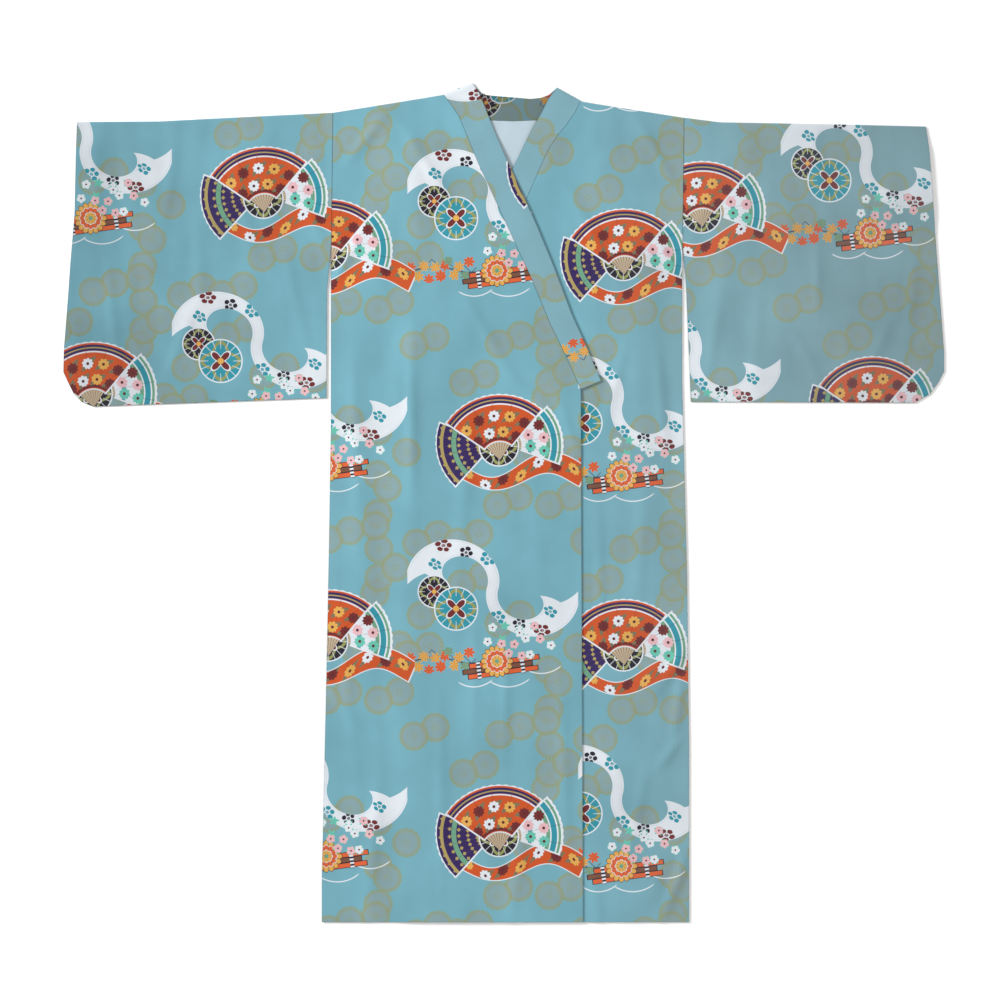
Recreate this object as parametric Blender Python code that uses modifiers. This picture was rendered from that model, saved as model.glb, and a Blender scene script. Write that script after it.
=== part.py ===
"""A kimono robe laid flat on its back, face up, with its sleeves spread to the sides.

Metres, +X to the viewer's right, +Y from the hem to the collar, +Z up from the surface that it lies on.
Tables and heights are in millimetres.  The cloth's middle surface is made first and given its wall after.
"""

import math
from collections import namedtuple

import bmesh
import bpy
import numpy as np

MM = 0.001

# Walls and the spaces between the layers
CLOTH_WALL = 1.0
COLLAR_WALL = 1.5
SEAM_GAP = 0.3
FOLD_GAP = 0.3
BACK_MID = CLOTH_WALL / 2
FRONT_MID = BACK_MID + CLOTH_WALL + SEAM_GAP
COLLAR_FLOOR_MID = COLLAR_WALL / 2
COLLAR_FOLDED_MID = COLLAR_FLOOR_MID + COLLAR_WALL + FOLD_GAP
COLLAR_UNDER_MID = CLOTH_WALL + SEAM_GAP + COLLAR_WALL / 2

# How far the upper front is lifted by what lies under it, above and below the collar's ends
LIFT_OVER_COLLAR = 2.4
LIFT_OVER_FRONT = 1.8
LIFT_CHANGE_Y = (90.0, 170.0)
LIFT_RUN_UP = 50.0
LIFT_MARGIN = 20.0

# Distance from a sewn edge over which the soft swells grow to their height
SEAM_FADE = 55.0
CUFF_OPENING_FROM_Y = 390.0
CUFF_GAPE = 2.6
CUFF_DEPTH = 60.0

FRONT_COLUMNS = 16
SLEEVE_COLUMNS = 16
COLLAR_COLUMNS = 3
BACK_ROWS = 12
ROW_STEP = 33.0
COLLAR_STEP = 17.0
FOLD_STEPS = 6

Point = namedtuple("Point", "x y")
Section = namedtuple("Section", "seam_x seam_y edge_x edge_y")
Swell = namedtuple("Swell", "x y half_width half_length lean height")

HEM_Y = -688.0
TIP_Y = 186.0
OVER_TIP_X = 126.7
OVER_HEM_X = 130.0
UNDER_TIP_X = -116.0
UNDER_HEM_X = -119.0

# Side seams of the body, hem to shoulder
SIDE_RIGHT = [
    Point(-298.0, HEM_Y),
    Point(-298.0, -611.0),
    Point(-291.5, -324.0),
    Point(-286.5, -78.0),
    Point(-283.3, 127.0),
    Point(-283.3, 355.0),
    Point(-282.5, 425.0),
    Point(-280.0, 638.8),
]
SIDE_LEFT = [
    Point(303.8, HEM_Y),
    Point(303.8, -406.0),
    Point(300.5, -119.0),
    Point(295.6, 70.0),
    Point(292.3, 201.0),
    Point(292.3, 355.0),
    Point(293.2, 425.0),
    Point(295.6, 630.6),
]

# The collar band where it folds over each shoulder, from its neck seam to its free edge
FOLD_RIGHT = Section(-98.0, 668.3, -50.4, 686.4)
FOLD_LEFT = Section(125.0, 657.6, 86.5, 679.0)

# The collar on the upper front, shoulder to tip
COLLAR_OVER = [
    FOLD_RIGHT,
    Section(-86.5, 653.5, -41.4, 673.2),
    Section(-73.4, 634.0, -32.4, 652.0),
    Section(-57.5, 596.0, -16.8, 612.5),
    Section(-42.2, 558.4, -1.6, 576.5),
    Section(-14.4, 497.7, 26.0, 515.8),
    Section(15.2, 433.8, 55.0, 451.8),
    Section(44.7, 369.8, 82.7, 384.6),
    Section(75.9, 294.4, 111.1, 309.1),
    Section(101.3, 242.0, 135.4, 255.8),
    Section(OVER_TIP_X, TIP_Y, 159.2, 199.8),
]

# The collar on the lower front, shoulder to its hidden tip
COLLAR_UNDER = [
    FOLD_LEFT,
    Section(116.9, 640.4, 74.2, 663.4),
    Section(102.1, 619.0, 61.9, 638.8),
    Section(87.3, 601.0, 49.6, 618.3),
    Section(74.2, 581.4, 38.1, 596.0),
    Section(61.1, 553.5, 25.0, 568.3),
    Section(38.1, 501.0, -0.4, 517.4),
    Section(5.3, 433.8, -34.0, 451.0),
    Section(-32.4, 363.3, -70.1, 379.7),
    Section(-66.8, 292.7, -102.1, 307.5),
    Section(-90.6, 242.0, -125.0, 255.8),
    Section(UNDER_TIP_X, TIP_Y, -148.0, 199.8),
]

# The collar behind the neck, from the wearer's right shoulder to the left
COLLAR_BACK = [
    FOLD_RIGHT,
    Section(-78.3, 645.3, -39.0, 673.2),
    Section(-55.3, 634.0, -29.1, 668.3),
    Section(-27.5, 627.3, -16.0, 666.7),
    Section(13.5, 625.7, 15.2, 664.2),
    Section(54.5, 627.3, 44.7, 661.7),
    Section(80.8, 632.2, 61.1, 663.4),
    Section(105.4, 642.0, 74.2, 668.3),
    FOLD_LEFT,
]

# Sleeve edges: beside the body, at the wrist, along the bottom and along the fold on top
SLEEVE_RIGHT_INNER = [
    Point(-290.8, 171.4),
    Point(-289.8, 348.5),
    Point(-282.8, 425.0),
    Point(-280.3, 638.3),
]
SLEEVE_RIGHT_OUTER = [
    Point(-673.6, 157.4),
    Point(-691.6, 164.8),
    Point(-704.7, 177.9),
    Point(-714.6, 197.6),
    Point(-722.0, 214.0),
    Point(-721.2, 250.0),
    Point(-709.7, 394.4),
    Point(-703.2, 473.0),
    Point(-699.9, 623.0),
]
SLEEVE_RIGHT_BOTTOM = [Point(-290.8, 171.4), Point(-673.6, 157.4)]
SLEEVE_RIGHT_TOP = [
    Point(-280.3, 638.3),
    Point(-498.0, 627.5),
    Point(-563.6, 624.0),
    Point(-699.9, 623.0),
]

SLEEVE_LEFT_INNER = [
    Point(307.0, 165.0),
    Point(299.0, 355.0),
    Point(293.5, 425.0),
    Point(295.9, 630.1),
]
SLEEVE_LEFT_OUTER = [
    Point(674.5, 163.5),
    Point(699.0, 178.0),
    Point(712.2, 196.0),
    Point(722.0, 215.0),
    Point(722.0, 246.0),
    Point(713.7, 355.0),
    Point(703.9, 489.0),
    Point(697.3, 580.0),
    Point(692.4, 615.5),
]
SLEEVE_LEFT_BOTTOM = [Point(307.0, 165.0), Point(674.5, 163.5)]
SLEEVE_LEFT_TOP = [
    Point(295.9, 630.1),
    Point(354.7, 622.5),
    Point(551.5, 619.0),
    Point(692.4, 615.5),
]

# Soft swells of each upper layer: middle point, half width and length, lean in degrees, height
SWELLS_OVER = [
    Swell(-235.0, -40.0, 30.0, 420.0, -1.0, 1.9),
    Swell(-152.0, -170.0, 26.0, 330.0, 2.0, 1.3),
    Swell(-40.0, -330.0, 34.0, 300.0, -3.0, 1.6),
    Swell(62.0, -120.0, 30.0, 260.0, 2.0, 1.4),
    Swell(92.0, 182.0, 20.0, 48.0, 52.0, 2.2),
    Swell(-190.0, 470.0, 34.0, 120.0, -24.0, 1.7),
    Swell(-96.0, 372.0, 26.0, 110.0, 26.0, 1.5),
]
SWELLS_UNDER = [
    Swell(236.0, 60.0, 32.0, 380.0, 1.0, 2.0),
    Swell(176.0, -300.0, 28.0, 300.0, -2.0, 1.7),
    Swell(262.0, -255.0, 18.0, 90.0, -28.0, 2.1),
    Swell(255.0, -610.0, 20.0, 85.0, -32.0, 2.3),
    Swell(196.0, 470.0, 34.0, 130.0, 22.0, 1.8),
    Swell(10.0, -200.0, 40.0, 320.0, 0.0, 0.8),
]
SWELLS_SLEEVE_RIGHT = [
    Swell(-372.0, 440.0, 30.0, 150.0, 14.0, 1.8),
    Swell(-478.0, 350.0, 34.0, 140.0, -8.0, 2.2),
    Swell(-590.0, 420.0, 30.0, 120.0, 10.0, 1.7),
    Swell(-420.0, 230.0, 24.0, 80.0, 34.0, 1.4),
]
SWELLS_SLEEVE_LEFT = [
    Swell(368.0, 400.0, 28.0, 150.0, -10.0, 2.1),
    Swell(462.0, 460.0, 34.0, 120.0, 18.0, 1.6),
    Swell(560.0, 330.0, 34.0, 130.0, -6.0, 2.2),
    Swell(640.0, 470.0, 24.0, 100.0, 8.0, 1.4),
]


def smooth(t):
    t = min(max(t, 0.0), 1.0)
    return t * t * (3.0 - 2.0 * t)


def swell_height(swells, x, y):
    total = 0.0
    for s in swells:
        lean = math.radians(s.lean)
        across = (x - s.x) * math.cos(lean) + (y - s.y) * math.sin(lean)
        along = (y - s.y) * math.cos(lean) - (x - s.x) * math.sin(lean)
        total += s.height * math.exp(-((across / s.half_width) ** 2) - (along / s.half_length) ** 2)
    return total


def distance_to_line(points, x, y):
    best = math.inf
    for a, b in zip(points, points[1:]):
        ex, ey = b[0] - a[0], b[1] - a[1]
        t = min(max(((x - a[0]) * ex + (y - a[1]) * ey) / (ex * ex + ey * ey), 0.0), 1.0)
        best = min(best, math.hypot(x - a[0] - t * ex, y - a[1] - t * ey))
    return best


def lower_layers_reach(y):
    """X of the leftmost hidden layer between the back and the upper front."""
    edges = sorted((s.edge_y, s.edge_x) for s in COLLAR_UNDER)
    ys = [HEM_Y, TIP_Y - 1.0] + [e[0] for e in edges]
    xs = [UNDER_HEM_X, edges[0][1]] + [e[1] for e in edges]
    return float(np.interp(y, ys, xs))


def under_mid(x, y):
    """Height of the lower front's middle surface."""
    sewn = distance_to_line(SIDE_LEFT, x, y)
    shoulder = distance_to_line([SIDE_LEFT[-1], (FOLD_LEFT.seam_x, FOLD_LEFT.seam_y)], x, y)
    neck = distance_to_line([(s.seam_x, s.seam_y) for s in COLLAR_UNDER], x, y)
    fade = smooth(min(sewn, shoulder, neck) / SEAM_FADE)
    return FRONT_MID + fade * swell_height(SWELLS_UNDER, x, y)


def over_mid(x, y):
    """Height of the upper front's middle surface."""
    lift = LIFT_OVER_FRONT
    low, high = LIFT_CHANGE_Y
    lift += (LIFT_OVER_COLLAR - LIFT_OVER_FRONT) * smooth((y - low) / (high - low))
    start = lower_layers_reach(y) - LIFT_MARGIN - LIFT_RUN_UP
    mask = smooth((x - start) / LIFT_RUN_UP)
    sewn = distance_to_line(SIDE_RIGHT, x, y)
    shoulder = distance_to_line([SIDE_RIGHT[-1], (FOLD_RIGHT.seam_x, FOLD_RIGHT.seam_y)], x, y)
    neck = distance_to_line([(s.seam_x, s.seam_y) for s in COLLAR_OVER], x, y)
    fade = smooth(min(sewn, shoulder, neck + LIFT_MARGIN) / SEAM_FADE)
    hidden = mask * (lift + under_mid(x, y) - FRONT_MID)
    return FRONT_MID + hidden + fade * swell_height(SWELLS_OVER, x, y)


def line_lengths(points):
    steps = [math.hypot(b[0] - a[0], b[1] - a[1]) for a, b in zip(points, points[1:])]
    return np.concatenate([[0.0], np.cumsum(steps)])


def at(points, fraction):
    """The point at a fraction of a line's length."""
    lengths = line_lengths(points)
    reach = fraction * lengths[-1]
    return np.array([np.interp(reach, lengths, [p[axis] for p in points]) for axis in (0, 1)])


def stations(points, step):
    """Fractions of a line's length: at each of its points and at even steps between them."""
    lengths = line_lengths(points)
    found = [0.0]
    for start, end in zip(lengths, lengths[1:]):
        parts = max(1, round((end - start) / step))
        found += [(start + (end - start) * (i + 1) / parts) / lengths[-1] for i in range(parts)]
    return found


def span(left, right, bottom, top, across, along):
    """Rows of plan points that fill the space between four edges."""
    corners = [at(left, 0.0), at(right, 0.0), at(left, 1.0), at(right, 1.0)]
    rows = []
    for v in along:
        row = []
        for u in across:
            sides = (1 - u) * at(left, v) + u * at(right, v)
            ends = (1 - v) * at(bottom, u) + v * at(top, u)
            low = (1 - u) * corners[0] + u * corners[1]
            high = (1 - u) * corners[2] + u * corners[3]
            row.append(sides + ends - (1 - v) * low - v * high)
        rows.append(row)
    return rows


def raise_rows(rows, height):
    return [[(p[0], p[1], height(p[0], p[1])) for p in row] for row in rows]


def cloth_piece(name, rows, wall, colour, collection):
    """A grid laid through the rows, given its wall on both sides."""
    mesh = bpy.data.meshes.new(name)
    shape = bmesh.new()
    columns = len(rows[0])
    bmesh.ops.create_grid(shape, x_segments=columns - 1, y_segments=len(rows) - 1, size=0.5)
    for vert, point in zip(shape.verts, (p for row in rows for p in row)):
        vert.co = [c * MM for c in point]
    shape.to_mesh(mesh)
    shape.free()
    piece = bpy.data.objects.new(name, mesh)
    collection.objects.link(piece)
    material = bpy.data.materials.new(name + " cloth")
    material.use_nodes = True
    shader = material.node_tree.nodes["Principled BSDF"]
    shader.inputs["Base Color"].default_value = colour
    shader.inputs["Roughness"].default_value = 0.7
    mesh.materials.append(material)
    solid = piece.modifiers.new("Cloth wall", "SOLIDIFY")
    solid.thickness = wall * MM
    solid.offset = 0.0
    solid.use_even_offset = True
    return piece


def set_back(sections):
    """The neck seam of a panel: the collar's seam, drawn back from the band by the seam's gap."""
    found = []
    for s in sections:
        across = np.array([s.edge_x - s.seam_x, s.edge_y - s.seam_y])
        across /= np.linalg.norm(across)
        found.append(Point(s.seam_x - SEAM_GAP * across[0], s.seam_y - SEAM_GAP * across[1]))
    return found


def back_rows():
    top = [SIDE_RIGHT[-1]] + set_back(COLLAR_BACK) + [SIDE_LEFT[-1]]
    across = stations(top, ROW_STEP)
    bottom = [Point(SIDE_RIGHT[0].x, HEM_Y), Point(SIDE_LEFT[0].x, HEM_Y)]
    along = [i / BACK_ROWS for i in range(BACK_ROWS + 1)]
    return raise_rows(span(SIDE_RIGHT, SIDE_LEFT, bottom, top, across, along), lambda x, y: BACK_MID)


def front_rows(side, sections, hem_x, height):
    neck = set_back(sections)
    opening = [Point(hem_x, HEM_Y)] + neck[::-1]
    along = stations(opening, ROW_STEP)
    across = [i / FRONT_COLUMNS for i in range(FRONT_COLUMNS + 1)]
    bottom = [side[0], opening[0]]
    top = [side[-1], opening[-1]]
    return raise_rows(span(side, opening, bottom, top, across, along), height)


def sleeve_rows(inner, outer, bottom, top, swells):
    def height(x, y):
        below_slit = inner[1].y
        armhole = distance_to_line(inner[2:], x, y)
        sewn = distance_to_line([p for p in outer if p.y < CUFF_OPENING_FROM_Y], x, y)
        edge = min(armhole, sewn, distance_to_line(bottom, x, y), distance_to_line(top, x, y))
        free = distance_to_line(inner[:3], x, y)
        lowered = 0.4 + 0.6 * smooth(free / SEAM_FADE) if y < below_slit else 1.0
        wrist = distance_to_line([p for p in outer if p.y > CUFF_OPENING_FROM_Y], x, y)
        gape = CUFF_GAPE * (1.0 - smooth(wrist / CUFF_DEPTH))
        return FRONT_MID + smooth(edge / SEAM_FADE) * (lowered * swell_height(swells, x, y) + gape)

    across = [i / SLEEVE_COLUMNS for i in range(SLEEVE_COLUMNS + 1)]
    along = stations(outer, ROW_STEP)
    layer = span(inner, outer, bottom, top, across, along)
    radius = (FRONT_MID - BACK_MID) / 2
    fold = []
    for step in range(1, FOLD_STEPS):
        turn = math.pi * step / FOLD_STEPS
        z = BACK_MID + radius * (1 - math.cos(turn))
        fold.append([(p[0], p[1] + radius * math.sin(turn), z) for p in layer[-1]])
    lower = raise_rows(layer, lambda x, y: BACK_MID)
    upper = raise_rows(layer, height)
    return lower + fold + upper[::-1]


def band_row(seam, edge):
    return [tuple(seam + (edge - seam) * i / COLLAR_COLUMNS) for i in range(COLLAR_COLUMNS + 1)]


def band_rows(sections, seam_height, edge_height):
    seams = [(s.seam_x, s.seam_y) for s in sections]
    edges = [(s.edge_x, s.edge_y) for s in sections]
    rows = []
    for i, (a, b) in enumerate(zip(sections, sections[1:])):
        length = math.hypot(b.seam_x - a.seam_x, b.seam_y - a.seam_y)
        parts = max(1, round(length / COLLAR_STEP))
        for k in range(parts + (i == len(sections) - 2)):
            t = k / parts
            seam = np.array(seams[i]) * (1 - t) + np.array(seams[i + 1]) * t
            edge = np.array(edges[i]) * (1 - t) + np.array(edges[i + 1]) * t
            rows.append(band_row(np.append(seam, seam_height(*seam)), np.append(edge, edge_height(*edge))))
    return rows


def shoulder_turn(section):
    """Rows of the half round where the band folds over a shoulder, from the surface up."""
    seam = np.array([section.seam_x, section.seam_y])
    edge = np.array([section.edge_x, section.edge_y])
    outward = np.array([seam[1] - edge[1], edge[0] - seam[0]])
    outward *= math.copysign(1.0, outward[1]) / np.linalg.norm(outward)
    radius = (COLLAR_FOLDED_MID - COLLAR_FLOOR_MID) / 2
    rows = []
    for step in range(1, FOLD_STEPS):
        turn = math.pi * step / FOLD_STEPS
        shift = outward * radius * math.sin(turn)
        z = COLLAR_FLOOR_MID + radius * (1 - math.cos(turn))
        rows.append(band_row(np.append(seam + shift, z), np.append(edge + shift, z)))
    return rows


def collar_rows():
    def over(x, y):
        return max(COLLAR_FOLDED_MID, over_mid(x, y))

    def under(x, y):
        near_fold = smooth((y - 560.0) / 50.0)
        return COLLAR_UNDER_MID + (COLLAR_FOLDED_MID - COLLAR_UNDER_MID) * near_fold

    def floor(x, y):
        return COLLAR_FLOOR_MID

    under_run = band_rows(COLLAR_UNDER, under, under)[::-1]
    back_run = band_rows(COLLAR_BACK[::-1], floor, floor)
    over_run = band_rows(COLLAR_OVER, over, over)
    return under_run + shoulder_turn(FOLD_LEFT)[::-1] + back_run + shoulder_turn(FOLD_RIGHT) + over_run


def build():
    for thing in list(bpy.data.objects):
        bpy.data.objects.remove(thing, do_unlink=True)
    collection = bpy.data.collections.new("kimono robe")
    bpy.context.scene.collection.children.link(collection)
    teal = (0.17, 0.40, 0.48, 1.0)
    pale = (0.20, 0.43, 0.50, 1.0)
    sleeve_right_edges = (SLEEVE_RIGHT_INNER, SLEEVE_RIGHT_OUTER, SLEEVE_RIGHT_BOTTOM, SLEEVE_RIGHT_TOP)
    sleeve_left_edges = (SLEEVE_LEFT_INNER, SLEEVE_LEFT_OUTER, SLEEVE_LEFT_BOTTOM, SLEEVE_LEFT_TOP)
    pieces = [
        ("back", back_rows(), CLOTH_WALL, teal),
        ("front_under", front_rows(SIDE_LEFT, COLLAR_UNDER, UNDER_HEM_X, under_mid), CLOTH_WALL, teal),
        ("front_over", front_rows(SIDE_RIGHT, COLLAR_OVER, OVER_HEM_X, over_mid), CLOTH_WALL, teal),
        ("sleeve_right", sleeve_rows(*sleeve_right_edges, SWELLS_SLEEVE_RIGHT), CLOTH_WALL, teal),
        ("sleeve_left", sleeve_rows(*sleeve_left_edges, SWELLS_SLEEVE_LEFT), CLOTH_WALL, teal),
        ("collar", collar_rows(), COLLAR_WALL, pale),
    ]
    for name, rows, wall, colour in pieces:
        cloth_piece(name, rows, wall, colour, collection)


build()
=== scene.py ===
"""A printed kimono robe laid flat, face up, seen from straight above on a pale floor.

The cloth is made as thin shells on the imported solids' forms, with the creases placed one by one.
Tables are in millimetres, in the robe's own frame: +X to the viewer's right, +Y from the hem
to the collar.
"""

import math
from collections import namedtuple
from functools import cache

import bmesh
import bpy
import numpy as np
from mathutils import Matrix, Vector


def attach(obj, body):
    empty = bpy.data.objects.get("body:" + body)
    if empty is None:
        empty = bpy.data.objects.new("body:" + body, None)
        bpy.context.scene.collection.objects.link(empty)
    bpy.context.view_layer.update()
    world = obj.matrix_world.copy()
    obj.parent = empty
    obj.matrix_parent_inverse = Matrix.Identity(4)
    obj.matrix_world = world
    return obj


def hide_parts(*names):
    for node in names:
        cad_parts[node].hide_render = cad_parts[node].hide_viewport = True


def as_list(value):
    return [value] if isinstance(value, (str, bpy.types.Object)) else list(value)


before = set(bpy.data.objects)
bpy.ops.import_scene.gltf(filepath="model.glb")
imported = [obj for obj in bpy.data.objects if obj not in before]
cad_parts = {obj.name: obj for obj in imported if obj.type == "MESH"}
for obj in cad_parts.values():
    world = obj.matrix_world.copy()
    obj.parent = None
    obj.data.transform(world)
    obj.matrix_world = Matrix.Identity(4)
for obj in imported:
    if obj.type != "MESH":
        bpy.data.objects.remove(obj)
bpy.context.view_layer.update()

MM = 0.001
IN_MM = 1000.0

# Walls, and the heights of their middle surfaces above the floor
CLOTH_WALL = 0.45
COLLAR_WALL = 1.5
BACK_MID = 0.5
FRONT_MID = 1.8
COLLAR_FLOOR_MID = 0.75
COLLAR_FOLDED_MID = 2.55
COLLAR_UNDER_MID = 2.05

# How the upper front climbs over the collar and the front beneath it
LIFT_OVER_COLLAR = 2.4
LIFT_OVER_FRONT = 1.8
LIFT_CHANGE_Y = (90.0, 170.0)
LIFT_RUN_UP = 50.0
LIFT_MARGIN = 20.0

# How far from a seam the swells and the creases reach their full height
SEAM_FADE = 55.0
CREASE_FADE = 12.0
SEAM_GAP = 0.3

# How much each front rises to the collar that is sewn to it, and more so at the shoulder fold
COLLAR_RISE_RUN = 34.0
UNDER_COLLAR_RISE = 0.72
OVER_COLLAR_RISE = 1.22
SHOULDER_RISE = 0.5
SHOULDER_RISE_FROM_Y = 560.0
SHOULDER_RISE_RUN = 50.0

# The slit beside the body lies flatter than the rest of a sleeve, and the cuff gapes
SLIT_SWELL = 0.4
CUFF_OPENING_FROM_Y = 390.0
CUFF_GAPE = 2.6
CUFF_DEPTH = 60.0

# Rows and columns of each cloth
FOLD_STEPS = 8
CLOTH_STEP = 6.0
BODY_LENGTH = 1340.0
FRONT_WIDTH = 420.0
SLEEVE_WIDTH = 430.0
COLLAR_ACROSS = 8
NO_HEM = 500.0
FAR = 1e9

Point = namedtuple("Point", "x y")
Section = namedtuple("Section", "seam_x seam_y edge_x edge_y")
Swell = namedtuple("Swell", "x y half_width half_length lean height")


def points(*rows):
    return [Point(*row) for row in rows]


def sections(*rows):
    return [Section(*row) for row in rows]


def swells(*rows):
    return [Swell(*row) for row in rows]


HEM_Y = -688.0
TIP_Y = 186.0
OVER_TIP_X = 126.7
OVER_HEM_X = 130.0
UNDER_TIP_X = -116.0
UNDER_HEM_X = -119.0

SIDE_RIGHT = points(
    (-298.0, HEM_Y), (-298.0, -611.0), (-291.5, -324.0), (-286.5, -78.0), (-283.3, 127.0),
    (-283.3, 355.0), (-282.5, 425.0), (-280.0, 638.8),
)
SIDE_LEFT = points(
    (303.8, HEM_Y), (303.8, -406.0), (300.5, -119.0), (295.6, 70.0), (292.3, 201.0),
    (292.3, 355.0), (293.2, 425.0), (295.6, 630.6),
)

FOLD_RIGHT = Section(-98.0, 668.3, -50.4, 686.4)
FOLD_LEFT = Section(125.0, 657.6, 86.5, 679.0)
COLLAR_OVER = sections(
    FOLD_RIGHT, (-86.5, 653.5, -41.4, 673.2), (-73.4, 634.0, -32.4, 652.0),
    (-57.5, 596.0, -16.8, 612.5), (-42.2, 558.4, -1.6, 576.5), (-14.4, 497.7, 26.0, 515.8),
    (15.2, 433.8, 55.0, 451.8), (44.7, 369.8, 82.7, 384.6), (75.9, 294.4, 111.1, 309.1),
    (101.3, 242.0, 135.4, 255.8), (OVER_TIP_X, TIP_Y, 159.2, 199.8),
)
COLLAR_UNDER = sections(
    FOLD_LEFT, (116.9, 640.4, 74.2, 663.4), (102.1, 619.0, 61.9, 638.8),
    (87.3, 601.0, 49.6, 618.3), (74.2, 581.4, 38.1, 596.0), (61.1, 553.5, 25.0, 568.3),
    (38.1, 501.0, -0.4, 517.4), (5.3, 433.8, -34.0, 451.0), (-32.4, 363.3, -70.1, 379.7),
    (-66.8, 292.7, -102.1, 307.5), (-90.6, 242.0, -125.0, 255.8),
    (UNDER_TIP_X, TIP_Y, -148.0, 199.8),
)
COLLAR_BACK = sections(
    FOLD_RIGHT, (-78.3, 645.3, -39.0, 673.2), (-55.3, 634.0, -29.1, 668.3),
    (-27.5, 627.3, -16.0, 666.7), (13.5, 625.7, 15.2, 664.2), (54.5, 627.3, 44.7, 661.7),
    (80.8, 632.2, 61.1, 663.4), (105.4, 642.0, 74.2, 668.3), FOLD_LEFT,
)

SLEEVE_RIGHT_INNER = points(
    (-290.8, 171.4), (-289.8, 348.5), (-282.8, 425.0), (-280.3, 638.3),
)
SLEEVE_RIGHT_OUTER = points(
    (-673.6, 157.4), (-691.6, 164.8), (-704.7, 177.9), (-714.6, 197.6), (-722.0, 214.0),
    (-721.2, 250.0), (-709.7, 394.4), (-703.2, 473.0), (-699.9, 623.0),
)
SLEEVE_RIGHT_BOTTOM = points((-290.8, 171.4), (-673.6, 157.4))
SLEEVE_RIGHT_TOP = points(
    (-280.3, 638.3), (-498.0, 627.5), (-563.6, 624.0), (-699.9, 623.0),
)
SLEEVE_LEFT_INNER = points(
    (307.0, 165.0), (299.0, 355.0), (293.5, 425.0), (295.9, 630.1),
)
SLEEVE_LEFT_OUTER = points(
    (674.5, 163.5), (699.0, 178.0), (712.2, 196.0), (722.0, 215.0), (722.0, 246.0),
    (713.7, 355.0), (703.9, 489.0), (697.3, 580.0), (692.4, 615.5),
)
SLEEVE_LEFT_BOTTOM = points((307.0, 165.0), (674.5, 163.5))
SLEEVE_LEFT_TOP = points(
    (295.9, 630.1), (354.7, 622.5), (551.5, 619.0), (692.4, 615.5),
)

# The solids' soft swells, then the narrower creases that only the cloth has
SWELLS_OVER = swells(
    (-235.0, -40.0, 30.0, 420.0, -1.0, 1.9), (-152.0, -170.0, 26.0, 330.0, 2.0, 1.3),
    (-40.0, -330.0, 34.0, 300.0, -3.0, 1.6), (62.0, -120.0, 30.0, 260.0, 2.0, 1.4),
    (92.0, 182.0, 20.0, 48.0, 52.0, 2.2), (-190.0, 470.0, 34.0, 120.0, -24.0, 1.7),
    (-96.0, 372.0, 26.0, 110.0, 26.0, 1.5),
)
CREASES_OVER = swells(
    (-151.0, 134.0, 9.0, 104.0, 0.5, 3.0), (-262.0, -250.0, 9.0, 120.0, 6.0, 1.9),
    (-214.0, -560.0, 11.0, 105.0, -4.0, 2.4), (-267.0, -330.0, 9.0, 42.0, 36.0, 2.8),
    (-103.0, -470.0, 9.0, 150.0, 1.0, 1.9), (-48.0, -276.0, 8.0, 74.0, -1.0, 1.6),
    (2.0, -322.0, 7.0, 96.0, 0.0, 1.9), (24.0, -590.0, 10.0, 92.0, -7.0, 2.4),
    (98.0, -420.0, 8.0, 130.0, 3.0, 1.9), (70.0, 150.0, 9.0, 50.0, 46.0, 3.0),
    (104.0, 128.0, 8.0, 42.0, 20.0, 2.9), (-20.0, 262.0, 10.0, 92.0, 30.0, 2.1),
    (-64.0, 20.0, 12.0, 130.0, -3.0, 1.9), (-118.0, 540.0, 9.0, 74.0, 32.0, 2.6),
    (-226.0, 596.0, 9.0, 46.0, -38.0, 2.2), (-262.0, 392.0, 8.0, 56.0, -30.0, 2.6),
    (-244.0, 120.0, 9.0, 110.0, 2.0, 1.9),
)
SWELLS_UNDER = swells(
    (236.0, 60.0, 32.0, 380.0, 1.0, 2.0), (176.0, -300.0, 28.0, 300.0, -2.0, 1.7),
    (262.0, -255.0, 18.0, 90.0, -28.0, 2.1), (255.0, -610.0, 20.0, 85.0, -32.0, 2.3),
    (196.0, 470.0, 34.0, 130.0, 22.0, 1.8), (10.0, -200.0, 40.0, 320.0, 0.0, 0.8),
)
CREASES_UNDER = swells(
    (281.0, -264.0, 8.0, 44.0, -33.0, 4.4), (286.0, -330.0, 7.0, 56.0, -8.0, 3.2),
    (285.0, -618.0, 8.0, 58.0, -21.0, 4.8), (273.0, -410.0, 7.0, 30.0, -38.0, 3.4),
    (216.0, -520.0, 9.0, 96.0, -12.0, 2.1), (158.0, -130.0, 8.0, 120.0, 2.0, 2.1),
    (258.0, 168.0, 9.0, 84.0, 5.0, 2.4), (182.0, 190.0, 8.0, 66.0, -14.0, 2.1),
    (150.0, 430.0, 9.0, 84.0, 28.0, 2.4), (248.0, 576.0, 9.0, 54.0, 30.0, 2.2),
    (268.0, 398.0, 8.0, 48.0, 28.0, 2.6), (226.0, -60.0, 11.0, 100.0, -4.0, 1.9),
    (150.0, -640.0, 9.0, 60.0, 6.0, 1.9),
)
SWELLS_SLEEVE_RIGHT = swells(
    (-372.0, 440.0, 30.0, 150.0, 14.0, 1.8), (-478.0, 350.0, 34.0, 140.0, -8.0, 2.2),
    (-590.0, 420.0, 30.0, 120.0, 10.0, 1.7), (-420.0, 230.0, 24.0, 80.0, 34.0, 1.4),
)
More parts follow.
